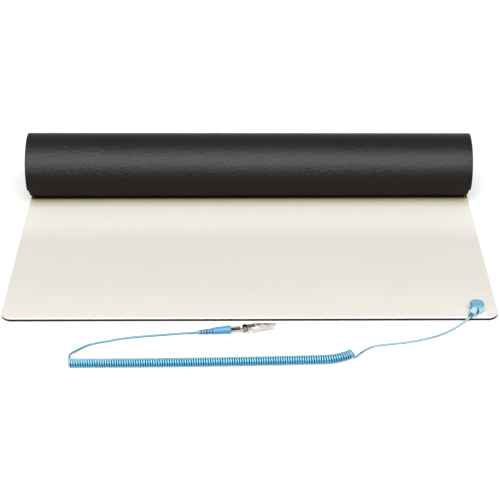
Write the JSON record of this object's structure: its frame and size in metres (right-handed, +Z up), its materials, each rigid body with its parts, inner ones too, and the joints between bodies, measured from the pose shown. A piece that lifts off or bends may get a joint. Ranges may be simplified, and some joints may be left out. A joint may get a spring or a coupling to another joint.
{
  "type": "esd bench mat with coiled grounding lead",
  "caption": "Two-layer static-control bench mat, partly rolled up, with a snap stud and a coiled grounding lead that ends in a banana plug and a crocodile clip.",
  "frame": {"origin": "centre of the partly rolled mat's footprint, on the surface it lies on; the lead is left out", "axes": "+X along the roll to the right, +Y from the mat's front edge to the roll, +Z up"},
  "size_m": [0.6, 0.4597, 0.088],
  "materials": {
    "mat_black": "fine matte leather grain",
    "mat_cream": "smooth matte with a faint grain",
    "nickel": "bright nickel plate",
    "clip_nickel": "nickel plate over pressed steel",
    "spring_steel": "drawn wire",
    "head_blue": "satin moulded",
    "plug_blue": "satin moulded",
    "collar_blue": "soft moulded",
    "cord_blue": "satin extruded sheath",
    "brass": "stamped",
    "copper_wire": "stranded wire",
    "tinned_wire": "tinned",
    "resistor_body": "lacquered"
  },
  "bodies": {
    "mat": {"mat_base_layer": "mat_black", "mat_top_layer": "mat_cream", "mat_stud": "nickel", "stud_eyelet": "nickel"},
    "grip_ring": {"snap_ring": "spring_steel"},
    "lead": {"snap_socket": "nickel", "socket_rivet": "nickel", "head_shell": "head_blue", "head_cap": "head_blue", "head_terminal": "brass", "series_resistor": "resistor_body", "resistor_leads": "tinned_wire", "head_conductor": "copper_wire", "head_strain_relief": "collar_blue", "cord_tail_head": "cord_blue", "cord_coil": "cord_blue", "cord_tail_plug": "cord_blue", "plug_strain_relief": "plug_blue", "plug_handle": "plug_blue", "plug_conductor": "copper_wire", "plug_pin": "nickel"},
    "sleeve": {"plug_sleeve": "spring_steel"},
    "clip": {"clip_lower_jaw": "clip_nickel", "clip_pin": "clip_nickel", "clip_spring": "spring_steel"},
    "clip_lever": {"clip_upper_jaw": "clip_nickel"}
  },
  "joints": [
    {"name": "snap_pull", "type": "slide", "parent": "mat", "child": "grip_ring", "axis": [0, 0, 1], "range_m": [0, 0.02]},
    {"name": "snap_swivel", "type": "hinge", "parent": "grip_ring", "child": "lead", "pos_m": [0.2743, -0.1642, 0.0041], "axis": [0, 0, 1], "range_deg": [0, 60]},
    {"name": "sleeve_turn", "type": "hinge", "parent": "lead", "child": "sleeve", "pos_m": [-0.01592, -0.20564, 0.00526], "axis": [0.995, 0.0871, 0.0489], "continuous": true},
    {"name": "clip_pull", "type": "slide", "parent": "sleeve", "child": "clip", "axis": [0.995, 0.0871, 0.0489], "range_m": [0, 0.012]},
    {"name": "jaw_open", "type": "hinge", "parent": "clip", "child": "clip_lever", "pos_m": [0.0014, -0.20413, 0.00381], "axis": [0.0872, -0.9962, 0], "range_deg": [0, 18], "stiffness_Nm_per_rad": 0.3, "springref_deg": -17.19}
  ]
}
